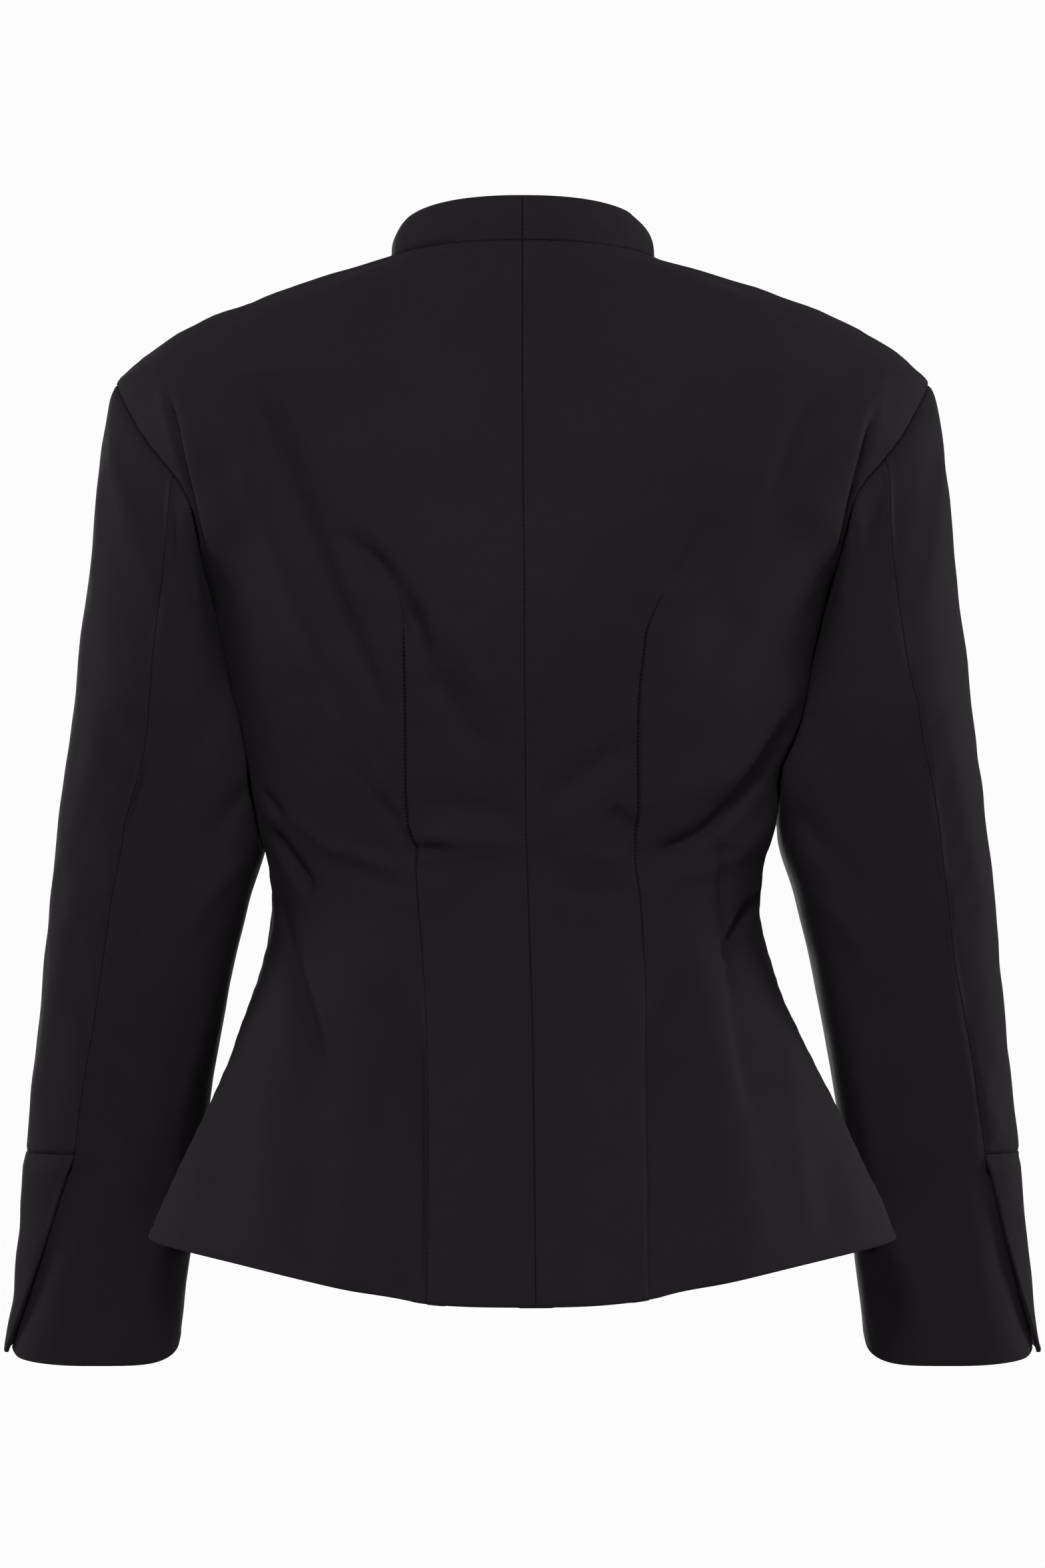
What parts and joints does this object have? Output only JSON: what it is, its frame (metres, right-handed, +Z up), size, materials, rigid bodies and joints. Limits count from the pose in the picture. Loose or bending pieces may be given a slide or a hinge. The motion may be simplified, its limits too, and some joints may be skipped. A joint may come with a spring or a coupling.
{
  "type": "fitted blazer",
  "caption": "Fitted black women's blazer with stand collar, padded wide shoulders, darted waist, flared peplum hem and long sleeves with vented cuffs, filled out as worn",
  "frame": {"origin": "midway between the two side neck points, where the collar seam meets the shoulder seams", "axes": "+Z up the wearer's body, -Y towards the front, +X towards the wearer's left"},
  "size_m": [0.6166, 0.298, 0.6815],
  "materials": {
    "suiting": "matt black worsted suiting in a fine twill",
    "button": "moulded polyester button, satin black"
  },
  "bodies": {
    "root": {"back_left": "suiting", "front_left": "suiting", "sleeve_upper_left": "suiting", "sleeve_under_left": "suiting", "cuff_left": "suiting", "collar_left": "suiting", "back_right": "suiting", "front_right": "suiting", "sleeve_upper_right": "suiting", "sleeve_under_right": "suiting", "cuff_right": "suiting", "collar_right": "suiting", "button_1": "button", "button_2": "button", "button_3": "button", "button_4": "button", "button_5": "button"}
  },
  "joints": []
}
